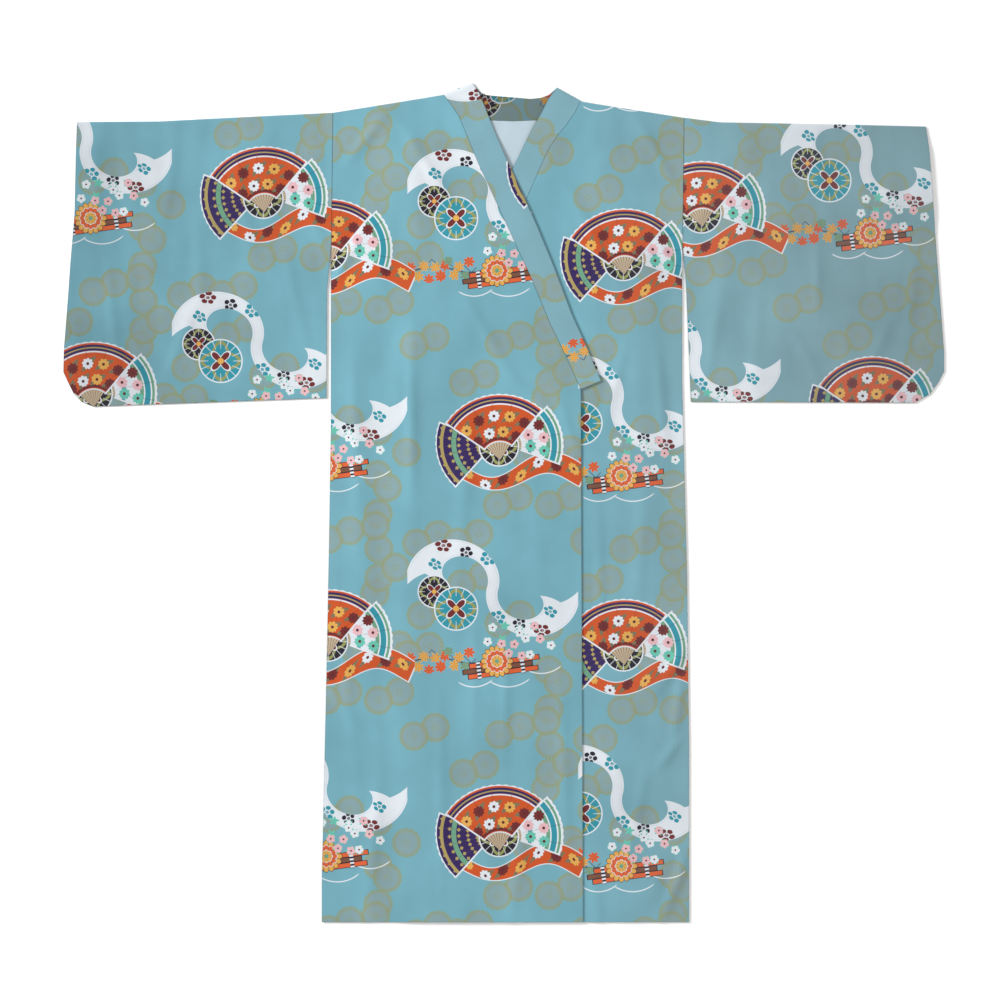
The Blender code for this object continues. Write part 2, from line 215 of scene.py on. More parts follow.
CREASES_SLEEVE_RIGHT = swells(
    (-316.0, 470.0, 9.0, 70.0, 24.0, 1.8), (-340.0, 330.0, 9.0, 78.0, 12.0, 1.5),
    (-428.0, 500.0, 9.0, 84.0, 9.0, 1.4), (-528.0, 266.0, 9.0, 66.0, -22.0, 1.8),
    (-548.0, 520.0, 9.0, 70.0, -8.0, 1.4), (-640.0, 300.0, 8.0, 82.0, 7.0, 1.6),
    (-604.0, 218.0, 8.0, 42.0, 42.0, 1.6), (-668.0, 520.0, 7.0, 60.0, 2.0, 1.2),
    (-500.0, 400.0, 10.0, 90.0, 4.0, 1.2),
)
SWELLS_SLEEVE_LEFT = swells(
    (368.0, 400.0, 28.0, 150.0, -10.0, 2.1), (462.0, 460.0, 34.0, 120.0, 18.0, 1.6),
    (560.0, 330.0, 34.0, 130.0, -6.0, 2.2), (640.0, 470.0, 24.0, 100.0, 8.0, 1.4),
)
CREASES_SLEEVE_LEFT = swells(
    (330.0, 486.0, 9.0, 66.0, -22.0, 1.8), (344.0, 270.0, 9.0, 74.0, -9.0, 1.6),
    (416.0, 300.0, 10.0, 90.0, -3.0, 1.4), (498.0, 236.0, 9.0, 52.0, 28.0, 1.6),
    (520.0, 528.0, 9.0, 60.0, 12.0, 1.5), (514.0, 360.0, 6.0, 50.0, 0.0, 1.9),
    (612.0, 250.0, 9.0, 62.0, -26.0, 1.8), (668.0, 330.0, 8.0, 70.0, -5.0, 1.5),
    (596.0, 452.0, 9.0, 76.0, 7.0, 1.3),
)


def smooth(t):
    t = np.clip(t, 0.0, 1.0)
    return t * t * (3.0 - 2.0 * t)


def swell_height(table, x, y):
    total = np.zeros(np.shape(x))
    for s in table:
        lean = math.radians(s.lean)
        across = (x - s.x) * math.cos(lean) + (y - s.y) * math.sin(lean)
        along = (y - s.y) * math.cos(lean) - (x - s.x) * math.sin(lean)
        total += s.height * np.exp(-((across / s.half_width) ** 2) - (along / s.half_length) ** 2)
    return total


def distance_to_line(line, x, y):
    best = np.full(np.shape(x), FAR)
    for a, b in zip(line, line[1:]):
        ex, ey = b[0] - a[0], b[1] - a[1]
        t = np.clip(((x - a[0]) * ex + (y - a[1]) * ey) / (ex * ex + ey * ey), 0.0, 1.0)
        best = np.minimum(best, np.hypot(x - a[0] - t * ex, y - a[1] - t * ey))
    return best


def lower_layers_reach(y):
    """X of the leftmost hidden layer between the back and the upper front."""
    edges = sorted((s.edge_y, s.edge_x) for s in COLLAR_UNDER)
    ys = [HEM_Y, TIP_Y - 1.0] + [e[0] for e in edges]
    xs = [UNDER_HEM_X, edges[0][1]] + [e[1] for e in edges]
    return np.interp(y, ys, xs)


def near_shoulder(y):
    return smooth((y - SHOULDER_RISE_FROM_Y) / SHOULDER_RISE_RUN)


def under_mid(x, y):
    """Height of the middle of the lower front's wall."""
    sewn = distance_to_line(SIDE_LEFT, x, y)
    shoulder = distance_to_line([SIDE_LEFT[-1], FOLD_LEFT[:2]], x, y)
    neck = distance_to_line([s[:2] for s in COLLAR_UNDER], x, y)
    edge = np.minimum(np.minimum(sewn, shoulder), neck)
    fade = smooth(edge / SEAM_FADE)
    joined = UNDER_COLLAR_RISE + SHOULDER_RISE * near_shoulder(y)
    joined *= 1.0 - smooth(neck / COLLAR_RISE_RUN)
    creases = smooth(edge / CREASE_FADE) * swell_height(CREASES_UNDER, x, y)
    return FRONT_MID + joined + fade * swell_height(SWELLS_UNDER, x, y) + creases


def over_mid(x, y):
    """Height of the middle of the upper front's wall, over all that lies beneath it."""
    low, high = LIFT_CHANGE_Y
    change = smooth((y - low) / (high - low))
    lift = LIFT_OVER_FRONT + (LIFT_OVER_COLLAR - LIFT_OVER_FRONT) * change
    start = lower_layers_reach(y) - LIFT_MARGIN - LIFT_RUN_UP
    mask = smooth((x - start) / LIFT_RUN_UP)
    sewn = distance_to_line(SIDE_RIGHT, x, y)
    shoulder = distance_to_line([SIDE_RIGHT[-1], FOLD_RIGHT[:2]], x, y)
    neck = distance_to_line([s[:2] for s in COLLAR_OVER], x, y)
    edge = np.minimum(sewn, shoulder)
    fade = smooth(np.minimum(edge, neck + LIFT_MARGIN) / SEAM_FADE)
    hidden = mask * (lift + under_mid(x, y) - FRONT_MID)
    creases = smooth(np.minimum(edge, neck) / CREASE_FADE) * swell_height(CREASES_OVER, x, y)
    joined = OVER_COLLAR_RISE * (1.0 - smooth(neck / COLLAR_RISE_RUN)) * (1.0 - mask)
    return FRONT_MID + joined + hidden + fade * swell_height(SWELLS_OVER, x, y) + creases


def line_lengths(line):
    steps = [math.hypot(b[0] - a[0], b[1] - a[1]) for a, b in zip(line, line[1:])]
    return np.concatenate([[0.0], np.cumsum(steps)])


def at(line, fraction):
    """The points at fractions of a line's length, one to a row."""
    lengths = line_lengths(line)
    reach = np.asarray(fraction) * lengths[-1]
    return np.stack([np.interp(reach, lengths, [p[axis] for p in line]) for axis in (0, 1)], -1)


def stations(line, step):
    """Fractions of a line's length about a step apart, with every corner among them."""
    lengths = line_lengths(line)
    found = [0.0]
    for start, end in zip(lengths, lengths[1:]):
        parts = max(1, round((end - start) / step))
        found += [(start + (end - start) * (i + 1) / parts) / lengths[-1] for i in range(parts)]
    return np.array(found)


def span(left, right, bottom, top, across, along):
    """Plan points, a row for each step along, that fill the space between four edges."""
    u = across[None, :, None]
    v = along[:, None, None]
    sides = (1 - u) * at(left, along)[:, None] + u * at(right, along)[:, None]
    ends = (1 - v) * at(bottom, across)[None] + v * at(top, across)[None]
    low = (1 - u) * at(left, 0.0) + u * at(right, 0.0)
    high = (1 - u) * at(left, 1.0) + u * at(right, 1.0)
    return sides + ends - (1 - v) * low - v * high


def raised(plan, height):
    return np.concatenate([plan, height(plan[..., 0], plan[..., 1])[..., None]], -1)


def set_back(seams):
    """The collar's seam line, moved off the collar by the gap at a seam."""
    found = []
    for s in seams:
        across = np.array([s.edge_x - s.seam_x, s.edge_y - s.seam_y])
        across /= np.linalg.norm(across)
        found.append(Point(s.seam_x - SEAM_GAP * across[0], s.seam_y - SEAM_GAP * across[1]))
    return found


def even(count):
    return np.linspace(0.0, 1.0, count + 1)


def even_rows(length):
    return even(round(length / CLOTH_STEP))


# Each cloth below is its places in rows, its places on the flat print, and its distances
# from the side seams and from the hem


def back_cloth():
    top = [SIDE_RIGHT[-1]] + set_back(COLLAR_BACK) + [SIDE_LEFT[-1]]
    bottom = [Point(SIDE_RIGHT[0].x, HEM_Y), Point(SIDE_LEFT[0].x, HEM_Y)]
    across = stations(top, CLOTH_STEP)
    plan = span(SIDE_RIGHT, SIDE_LEFT, bottom, top, across, even_rows(BODY_LENGTH))
    places = raised(plan, lambda x, y: np.full(np.shape(x), BACK_MID))
    side = np.minimum(distance_to_line(SIDE_RIGHT, plan[..., 0], plan[..., 1]),
                      distance_to_line(SIDE_LEFT, plan[..., 0], plan[..., 1]))
    return places, plan, np.stack([side, plan[..., 1] - HEM_Y], -1)


def front_cloth(side, seams, hem_x, height):
    neck = set_back(seams)
    opening = [Point(hem_x, HEM_Y)] + neck[::-1]
    along = stations(opening, CLOTH_STEP)
    bottom = [side[0], opening[0]]
    top = [side[-1], opening[-1]]
    plan = span(side, opening, bottom, top, even_rows(FRONT_WIDTH), along)
    x, y = plan[..., 0], plan[..., 1]
    seam = np.minimum(distance_to_line(side, x, y), distance_to_line(opening, x, y))
    return raised(plan, height), plan, np.stack([seam, y - HEM_Y], -1)


def sleeve_cloth(inner, outer, bottom, top, broad, creases):
    """The lower wall from bottom to top, the fold along the top, and the upper wall back down."""
    cuff = [p for p in outer if p.y > CUFF_OPENING_FROM_Y]
    closed = [p for p in outer if p.y < CUFF_OPENING_FROM_Y]

    def height(x, y):
        sewn = np.minimum(distance_to_line(inner[2:], x, y), distance_to_line(closed, x, y))
        ends = np.minimum(distance_to_line(bottom, x, y), distance_to_line(top, x, y))
        edge = np.minimum(sewn, ends)
        free = distance_to_line(inner[:3], x, y)
        by_slit = SLIT_SWELL + (1.0 - SLIT_SWELL) * smooth(free / SEAM_FADE)
        lowered = np.where(y < inner[1].y, by_slit, 1.0)
        gape = CUFF_GAPE * (1.0 - smooth(distance_to_line(cuff, x, y) / CUFF_DEPTH))
        soft = smooth(edge / SEAM_FADE) * (lowered * swell_height(broad, x, y) + gape)
        return FRONT_MID + soft + smooth(edge / CREASE_FADE) * swell_height(creases, x, y)

    across = even_rows(SLEEVE_WIDTH)
    along = stations(outer, CLOTH_STEP)
    layer = span(inner, outer, bottom, top, across, along)
    radius = (FRONT_MID - BACK_MID) / 2
    fold = []
    for step in range(1, FOLD_STEPS):
        turn = math.pi * step / FOLD_STEPS
        row = np.array([[p[0], p[1] + radius * math.sin(turn), 0.0] for p in layer[-1]])
        row[:, 2] = BACK_MID + radius * (1 - math.cos(turn))
        fold.append(row)
    lower = raised(layer, lambda x, y: np.full(np.shape(x), BACK_MID))
    upper = raised(layer, height)[::-1]
    places = np.concatenate([lower, np.array(fold), upper])
    top_y = layer[-1, :, 1]
    mirrored = np.stack([layer[..., 0], 2 * top_y - layer[..., 1]], -1)
    fold_x = places[len(lower):-len(upper), :, 0]
    along_fold = np.stack([fold_x, np.tile(top_y, (len(fold), 1))], -1)
    printed = np.concatenate([mirrored, along_fold, layer[::-1]])
    x, y = places[..., 0], places[..., 1]
    ends = np.minimum(distance_to_line(outer, x, y), distance_to_line(inner, x, y))
    return places, printed, np.stack([ends, distance_to_line(bottom, x, y)], -1)


def band_row(seam, edge):
    return seam + (edge - seam) * even(COLLAR_ACROSS)[:, None]


def band_rows(seams, height):
    """Rows across the collar's band along its sections."""
    seam_line = [s[:2] for s in seams]
    lengths = line_lengths(seam_line)
    along = stations(seam_line, CLOTH_STEP) * lengths[-1]
    rows = []
    for reach in along:
        found = [np.interp(reach, lengths, [s[k] for s in seams]) for k in range(4)]
        seam, edge = np.array(found[:2]), np.array(found[2:])
        ends = [np.append(p, height(p[0], p[1])) for p in (seam, edge)]
        rows.append(band_row(*ends))
    return rows


def shoulder_turn(section):
    """Rows across the band where it turns over at a shoulder, from the floor to the top."""
    seam, edge = np.array(section[:2]), np.array(section[2:])
    outward = np.array([seam[1] - edge[1], edge[0] - seam[0]])
    outward *= math.copysign(1.0, outward[1]) / np.linalg.norm(outward)
    radius = (COLLAR_FOLDED_MID - COLLAR_FLOOR_MID) / 2
    rows = []
    for step in range(1, FOLD_STEPS):
        turn = math.pi * step / FOLD_STEPS
        shift = outward * radius * math.sin(turn)
        z = COLLAR_FLOOR_MID + radius * (1 - math.cos(turn))
        rows.append(band_row(np.append(seam + shift, z), np.append(edge + shift, z)))
    return rows


def collar_cloth():
    def over(x, y):
        return max(COLLAR_FOLDED_MID, float(over_mid(x, y)))

    def under(x, y):
        return COLLAR_UNDER_MID + (COLLAR_FOLDED_MID - COLLAR_UNDER_MID) * float(near_shoulder(y))

    def floor(x, y):
        return COLLAR_FLOOR_MID

    rows = band_rows(COLLAR_UNDER, under)[::-1]
    rows += shoulder_turn(FOLD_LEFT)[::-1]
    rows += band_rows(COLLAR_BACK[::-1], floor)
    rows += shoulder_turn(FOLD_RIGHT)
    rows += band_rows(COLLAR_OVER, over)
    places = np.array(rows)
    middle = places[:, COLLAR_ACROSS // 2]
    reach = np.concatenate([[0.0], np.cumsum(np.linalg.norm(np.diff(middle, axis=0), axis=1))])
    width = np.linalg.norm(places[:, -1] - places[:, 0], axis=1)
    across = even(COLLAR_ACROSS)[None, :] * width[:, None]
    printed = np.stack([across, np.tile(reach[:, None], (1, COLLAR_ACROSS + 1))], -1)
    free = width[:, None] - across
    return places, printed, np.stack([free, np.full(free.shape, NO_HEM)], -1)


def face_kind(face, near):
    """Which motifs come near any corner of a face."""
    kind = 0
    for vert in face.verts:
        kind |= int(near[vert.index])
    return kind


def cloth_piece(name, parts, shift, wall, flipped, cloth):
    """A shell through the rows of places, with its print and its edges as UV maps."""
    places, printed, edges = parts
    printed = printed + np.array(shift)
    near = motifs_near(printed).reshape(-1)
    rows, columns = places.shape[:2]
    shape = bmesh.new()
    bmesh.ops.create_grid(shape, x_segments=columns - 1, y_segments=rows - 1, size=0.5)
    shape.verts.ensure_lookup_table()
    for vert, place in zip(shape.verts, places.reshape(-1, 3)):
        vert.co = Vector(place) * MM
    layers = [
        (shape.loops.layers.uv.new("print"), printed.reshape(-1, 2) * MM),
        (shape.loops.layers.uv.new("edges"), edges.reshape(-1, 2) * MM),
    ]
    kinds = sorted({face_kind(face, near) for face in shape.faces})
    for face in shape.faces:
        face.smooth = True
        face.material_index = kinds.index(face_kind(face, near))
        for loop in face.loops:
            for layer, values in layers:
                loop[layer].uv = values[loop.vert.index]
    for edge in shape.edges:
        edge.smooth = not edge.is_boundary
    if flipped:
        bmesh.ops.reverse_faces(shape, faces=shape.faces[:])
    mesh = bpy.data.meshes.new(name)
    shape.to_mesh(mesh)
    shape.free()
    piece = bpy.data.objects.new(name, mesh)
    bpy.context.scene.collection.objects.link(piece)
    for kind in kinds:
        mesh.materials.append(cloth_material(cloth, kind))
    solid = piece.modifiers.new("Cloth wall", "SOLIDIFY")
    solid.thickness = wall * MM
    solid.offset = 0.0
    solid.use_even_offset = True
    if cloth is PANEL:
        mesh.materials.append(cloth_material(WRONG_SIDE, 0))
        solid.material_offset = len(kinds)
    return piece


def fill(tree, slot, value):
    """Links a slot of a node to a socket, or sets it to a constant."""
    if isinstance(value, bpy.types.NodeSocket):
        tree.links.new(value, slot)
    else:
        slot.default_value = value


class Amount:
    """A number that a material works out at each point of the cloth."""

    def __init__(self, tree, socket):
        self.tree = tree
        self.socket = socket

    def worked(self, kind, *others, clamp=False):
        node = self.tree.nodes.new("ShaderNodeMath")
        node.operation = kind
        node.use_clamp = clamp
        for slot, value in zip(node.inputs, (self,) + others):
            fill(self.tree, slot, value.socket if isinstance(value, Amount) else value)
        return Amount(self.tree, node.outputs[0])

    def __add__(self, other):
        return self.worked("ADD", other)

    def __sub__(self, other):
        return self.worked("SUBTRACT", other)

    def __mul__(self, other):
        return self.worked("MULTIPLY", other)

    def size(self):
        return self.worked("ABSOLUTE")

    def kept_between(self, low, high):
        return self.worked("MAXIMUM", low).worked("MINIMUM", high)

    def times_plus(self, factor, term):
        return self.worked("MULTIPLY_ADD", factor, term)

    def within(self, half, soft=0.5):
        """1 where the amount is under half, 0 beyond it, with an edge this soft."""
        if isinstance(half, Amount):
            return (half - self).worked("MULTIPLY_ADD", 1.0 / soft, 0.5, clamp=True)
        return self.worked("MULTIPLY_ADD", -1.0 / soft, half / soft + 0.5, clamp=True)

    def beyond(self, half, soft=0.5):
        return self.worked("MULTIPLY_ADD", 1.0 / soft, 0.5 - half / soft, clamp=True)

    def repeated(self, step):
        """Distance along from the middle of the nearest step, from minus to plus half a step."""
        turn = self * (1.0 / step)
        return (turn - turn.worked("ROUND")) * step


def length_of(x, y):
    return (x * x).worked("ADD", y * y).worked("SQRT")


def turned(x, y, degrees):
    c, s = math.cos(math.radians(degrees)), math.sin(math.radians(degrees))
    across = (x * c).worked("MULTIPLY_ADD", 1.0, y * s)
    return across, (y * c).worked("MULTIPLY_ADD", 1.0, x * -s)


def linear(red, green, blue):
    """A colour given in screen values from 0 to 255."""
    parts = [c / 255 for c in (red, green, blue)]
    light = [c / 12.92 if c <= 0.04045 else ((c + 0.055) / 1.055) ** 2.4 for c in parts]
    return (*light, 1.0)


def mixed(tree, share, below, colour, blend):
    node = tree.nodes.new("ShaderNodeMix")
    node.data_type = "RGBA"
    node.blend_type = blend
    for number, value in ((0, share), (6, below), (7, colour)):
        fill(tree, node.inputs[number], value)
    return node.outputs[2]


def laid_over(tree, below, mask, colour):
    """The colour below, with another printed over it where the mask is 1."""
    return mixed(tree, mask.socket, below, colour, "MIX")


def by_turns(tree, number, colours):
    """One of three colours, by turns as a whole number grows."""
    pick = number.worked("FLOORED_MODULO", 3.0)
    tint = laid_over(tree, colours[0], pick.beyond(0.5, 0.1), colours[1])
    return laid_over(tree, tint, pick.beyond(1.5, 0.1), colours[2])


def random_parts(tree, first, second, seed):
    """Three amounts from 0 to 1 that are the same for the same pair."""
    joined = tree.nodes.new("ShaderNodeCombineXYZ")
    for slot, value in zip(joined.inputs, (first, second)):
        tree.links.new(value.socket, slot)
    joined.inputs[2].default_value = seed
    noise = tree.nodes.new("ShaderNodeTexWhiteNoise")
    noise.noise_dimensions = "3D"
    tree.links.new(joined.outputs[0], noise.inputs["Vector"])
    parts = tree.nodes.new("ShaderNodeSeparateColor")
    tree.links.new(noise.outputs["Color"], parts.inputs[0])
    return [Amount(tree, parts.outputs[k]) for k in range(3)]


# The print's repeat: columns of this width, each half a repeat above the last
COLUMN = 280.0
REPEAT = 640.0

# Roundels: the room for one, the cells in a column and in a repeat, and the step of a chain
ROUNDEL_ROOM = 48.0
CELLS_ACROSS = 4.0
CELLS_ALONG = 10.0
CHAIN_STEP = 68.0

GROUND = linear(117, 173, 188)
COLLAR_GROUND = linear(127, 172, 185)
# Grey of the painted cast of the light, laid over the cloth toward the viewer's right
PAINTED_CAST_GREY = linear(138, 156, 160)
GOLD = linear(150, 154, 92)
ROUNDEL_GREY = linear(137, 162, 169)
ORANGE = linear(206, 84, 32)
DEEP_ORANGE = linear(156, 56, 30)
PURPLE = linear(50, 30, 90)
WHITE = linear(226, 232, 238)
DARK_RED = linear(112, 38, 38)
NEAR_BLACK = linear(32, 24, 40)
TURQUOISE = linear(46, 148, 166)
GREEN = linear(110, 162, 132)
PINK = linear(232, 186, 192)
YELLOW = linear(228, 172, 84)
MAPLE = linear(222, 98, 52)
BROWN = linear(122, 78, 58)
STEM = linear(70, 80, 96)
EYE = linear(96, 34, 40)
LEAF_GREY = linear(104, 118, 92)
DULL_GOLD = linear(176, 156, 96)
SLAT = linear(196, 178, 150)
PALE_GREEN = linear(104, 196, 176)
RIBBON_EDGE = linear(176, 190, 214)
WRONG_SIDE_PALE = linear(188, 206, 216)


def placed(x, y, middle_x, middle_y):
    """Distances from the nearest copy of a point of the repeat."""
    column = x.times_plus(1.0 / COLUMN, -middle_x / COLUMN)
    whole = column.worked("ROUND")
    rise = whole.times_plus(-0.5, y.times_plus(1.0 / REPEAT, -middle_y / REPEAT))
    return (column - whole) * COLUMN, (rise - rise.worked("ROUND")) * REPEAT


def blossom(radius, angle, size, petals=5.0, depth=0.3):
    """How far a point is beyond the edge of a flower, and the wave of its petals, from 0 to 1."""
    wave = (angle * (petals / 2)).worked("COSINE").size()
    return radius - wave.times_plus(size * depth, size * (1 - depth)), wave


def polar(x, y):
    return length_of(x, y), y.worked("ARCTAN2", x)


def roundel(tree, x, y, colour, here):
    """A gold chrysanthemum round over a grey disc, where the mask is 1."""
    radius, angle = polar(x, y)
    petals = (angle * 12.0).worked("COSINE").size()
    rim = (radius - petals.times_plus(3.0, 19.9)).size().within(1.9, 1.8)
    band = (radius - 19.2).size().within(3.0, 2.4)
    dots = (radius - 17.4).size().within(1.4, 1.4) * petals.within(0.5, 0.3)
    inner = (radius - 11.5).size().within(0.8, 1.2)
    eye = (radius - 4.2).size().within(2.4, 2.4)
    rays = petals.within(0.34, 0.3) * (radius - 11.0).size().within(6.0, 3.0)
    lines = rim.worked("MAXIMUM", (inner + rays) * 0.28).worked("MAXIMUM", (eye + dots) * 0.46)
    lines = lines.worked("MAXIMUM", band * 0.44)
    disc = (radius - petals * 2.4).within(20.4, 1.6)
    colour = laid_over(tree, colour, here * disc * 0.78, ROUNDEL_GREY)
    return laid_over(tree, colour, here * lines * 0.66, GOLD)


def scattered_roundels(tree, x, y, colour, seed, shift_x, shift_y, share):
    """Roundels one to a cell of the repeat, thick in some parts of it and rare in others."""
    wide, tall = COLUMN / CELLS_ACROSS, REPEAT / CELLS_ALONG
    across = x.times_plus(1.0 / wide, shift_x)
    upward = y.times_plus(1.0 / tall, shift_y)
    cell_x, cell_y = across.worked("FLOOR"), upward.worked("FLOOR")
    column = (cell_x * (1.0 / CELLS_ACROSS)).worked("FLOOR")
    same_x = cell_x - column * CELLS_ACROSS
    same_y = column.times_plus(-CELLS_ALONG / 2, cell_y).worked("FLOORED_MODULO", CELLS_ALONG)
    chance, jitter_x, jitter_y = random_parts(tree, same_x, same_y, seed)
    slow = same_x.times_plus(math.pi / 2, same_y * (math.pi * 0.4) + seed).worked("SINE")
    here = (slow.times_plus(0.16, share) - chance).beyond(0.0, 0.001)
    local_x = (across - cell_x) * wide - jitter_x * (wide - ROUNDEL_ROOM) - ROUNDEL_ROOM / 2
    local_y = (upward - cell_y) * tall - jitter_y * (tall - ROUNDEL_ROOM) - ROUNDEL_ROOM / 2
    return roundel(tree, local_x, local_y, colour, here)


def chained_roundels(tree, x, y, colour, start, seed):
    """A wandering, broken chain of roundels up the repeat, every second one."""
    number = y.times_plus(1.0 / CHAIN_STEP, start).worked("ROUND")
    chance, jitter_x, jitter_y = random_parts(tree, number, number, seed)
    rise = number.times_plus(CHAIN_STEP, -CHAIN_STEP * start)
    middle = rise * rise.times_plus(-0.0012, 0.2) + jitter_x.times_plus(64.0, -32.0)
    local_y = y - rise - jitter_y.times_plus(26.0, -13.0)
    here = rise.size().within(205.0) * chance.within(0.86, 0.001)
    return roundel(tree, x - middle, local_y, colour, here)


def mum(tree, x, y, colour, size, here, tint, leafy):
    """A small chrysanthemum with a dark eye, over a grey-green leaf if it's leafy."""
    radius, angle = polar(x, y)
    beyond, _ = blossom(radius, angle, size, 9.0, 0.24)
    if leafy:
        along, beside = (x * 0.62 + y * 0.5).size(), (y * 0.62 - x * 0.5).size()
        leaf = (along * 0.7 + beside * 2.0).within(size * 1.2)
        colour = laid_over(tree, colour, leaf * here * 0.85, LEAF_GREY)
    colour = laid_over(tree, colour, beyond.within(0.0) * here, tint)
    return laid_over(tree, colour, radius.within(size * 0.26) * here, EYE)


def fan(tree, x, y, colour, lean, inner, outer, spread, leaf, bands, dots, ribs):
    """A striped folding fan, open about its pivot, with rings of chrysanthemums or a fret."""
    x, y = turned(x, y, lean)
    radius, angle = polar(y, x)
    side = angle.size() * radius
    edge = radius * math.radians(spread)
    reach = (outer - inner) / 2
    from_middle = (radius - (inner + outer) / 2).size()
    scallop = (angle * (ribs * 3.0)).worked("COSINE").size()
    whole = from_middle.within(scallop.times_plus(1.4, reach)) * side.within(edge + 1.4)
    inside = from_middle.within(reach - 1.2) * side.within(edge - 1.2)
    sticks = radius.within(inner) * side.within(edge * 0.86)
    slats = (angle * (ribs * 2.0)).worked("COSINE").size().beyond(0.3, 0.3)
    colour = laid_over(tree, colour, sticks, BROWN)
    colour = laid_over(tree, colour, sticks * slats, SLAT)
    colour = laid_over(tree, colour, whole, WHITE)
    colour = laid_over(tree, colour, inside, leaf)
    for middle, half, band in bands:
        colour = laid_over(tree, colour, (radius - middle).size().within(half) * inside, band)
    folds = (angle * ribs).worked("SINE").size().within(0.09, 0.06) * inside
    colour = laid_over(tree, colour, folds * 0.4, DEEP_ORANGE if leaf == ORANGE else STEM)
    if not dots:
        squares = (angle.repeated(0.17).size() * radius + radius.repeated(15.0).size()).within(3.4)
        return laid_over(tree, colour, squares * inside, DULL_GOLD)
    for ring, step, start in ((inner + reach * 0.42, 0.5, 0.5), (inner + reach * 1.1, 0.36, 0.0)):
        turn = angle.times_plus(1.0 / step, start)
        number = turn.worked("ROUND")
        tint = by_turns(tree, number, dots)
        local_x = (turn - number) * (step * ring)
        colour = mum(tree, local_x, radius - ring, colour, 9.4, inside, tint, leaf == ORANGE)
    return colour


def ribbon(tree, x, y, colour):
    """A white ribbon in one long double bend, notched at its wide ends, with plum blossoms."""
    x, y = turned(x, y, 74.0)
    y = y * 0.86
    flip = (y * y).times_plus(y * 0.0006, x).worked("SIGN")
    x, y = x * flip, y * flip
    bend = 49.0
    radius, angle = polar(y - bend, x)
    along = angle.times_plus(-1.0, math.pi).worked("FLOORED_MODULO", 2 * math.pi)
    away = radius - bend
    width = (along * along).times_plus(1.6, 8.0)
    notch = (along - away.size() * 0.011).within(3.3, 0.006)
    drawn = away.size().within(width) * notch
    colour = laid_over(tree, colour, drawn, WHITE)
    fold = (away.size() - width + 2.6).size().within(0.35) * drawn
    colour = laid_over(tree, colour, fold * 0.5, RIBBON_EDGE)
    step = 31.0
    arc = along.times_plus(bend, -16.0)
    number = (arc * (1.0 / step)).worked("ROUND")
    tint = by_turns(tree, number, (DARK_RED, TURQUOISE, NEAR_BLACK))
    beside = away - (number.worked("FLOORED_MODULO", 2.0) - 0.5) * width * 0.9
    radius, angle = polar(arc - number * step, beside)
    beyond, wave = blossom(radius, angle + number, 10.6)
    gaps = wave.beyond(0.3, 0.2).worked("MAXIMUM", radius.beyond(8.6, 0.6))
    flower = beyond.within(0.0) * gaps * (radius - 3.4).size().beyond(0.8)
    here = drawn * number.beyond(0.5, 0.1) * number.within(4.5, 0.1)
    return laid_over(tree, colour, flower * here, tint)


def thread_ball(tree, x, y, colour, size, outer, petal, heart):
    """A wound thread ball: crossed arcs of thread over one colour, with a star at its middle."""
    radius, angle = polar(x, y)
    inside = radius.within(size)
    colour = laid_over(tree, colour, radius.within(size + 2.2), WHITE)
    colour = laid_over(tree, colour, inside, outer)
    lobes = (angle * 4.0).worked("COSINE")
    arcs = (lobes.times_plus(size * 0.17, size * 0.72) - radius).size()
    colour = laid_over(tree, colour, arcs.within(size * 0.085) * inside, GOLD)
    ties = (angle * 8.0).worked("SINE").size().within(0.2, 0.1) * radius.beyond(size * 0.6)
    colour = laid_over(tree, colour, ties * inside * 0.7, WHITE)
    star = lobes.times_plus(size * -0.2, size * 0.4) - radius
    colour = laid_over(tree, colour, star.beyond(0.0), petal)
    colour = laid_over(tree, colour, star.size().within(size * 0.04), WHITE)
    return laid_over(tree, colour, radius.within(size * 0.15), heart)


def sash(tree, x, y, colour):
    """An orange sash in a slow wave, white along its edges, with flowers."""
    wave = (x * 0.034).worked("SINE")
    away = y - wave * 17.0
    slope = (x * 0.034).worked("COSINE") * 0.58
    stretch = (slope * slope + 1.0).worked("SQRT")
    width = (x * 0.021).worked("SINE").times_plus(4.0, 13.0)
    off = away.size().worked("DIVIDE", stretch)
    ends = x.size() - away * 0.35
    outer = off.within(width + 1.5) * ends.within(104.0)
    inner = off.within(width) * ends.within(102.0)
    colour = laid_over(tree, colour, outer, WHITE)
    colour = laid_over(tree, colour, inner, ORANGE)
    step = 29.0
    number = (x * (1.0 / step)).worked("ROUND")
    tint = by_turns(tree, number, (YELLOW, WHITE, DARK_RED))
    rise = away - (number.worked("FLOORED_MODULO", 2.0) - 0.5) * 8.0
    return mum(tree, x - number * step, rise, colour, 9.4, inner, tint, True)


def scattered(tree, x, y, cell, jitter, seed):
    """Distances from the nearest of many points, that point's place, and three random parts."""
    cell_y = (y * (1 / cell)).worked("FLOOR")
    stepped = x + cell_y.worked("FLOORED_MODULO", 2.0) * (cell / 2)
    cell_x = (stepped * (1 / cell)).worked("FLOOR")
    parts = random_parts(tree, cell_x, cell_y, seed)
    off_x = stepped - cell_x.times_plus(cell, cell / 2) - parts[1].times_plus(jitter, -jitter / 2)
    off_y = y - cell_y.times_plus(cell, cell / 2) - parts[2].times_plus(jitter, -jitter / 2)
    return off_x, off_y, x - off_x, y - off_y, parts


def flower_raft(tree, x, y, colour):
    """A flower raft over ripples, maple leaves on a twig, and blossoms."""
    colour = maple_twig(tree, x, y, colour)
    colour = raft(tree, x, y, colour)
    return blossoms(tree, x, y, colour)


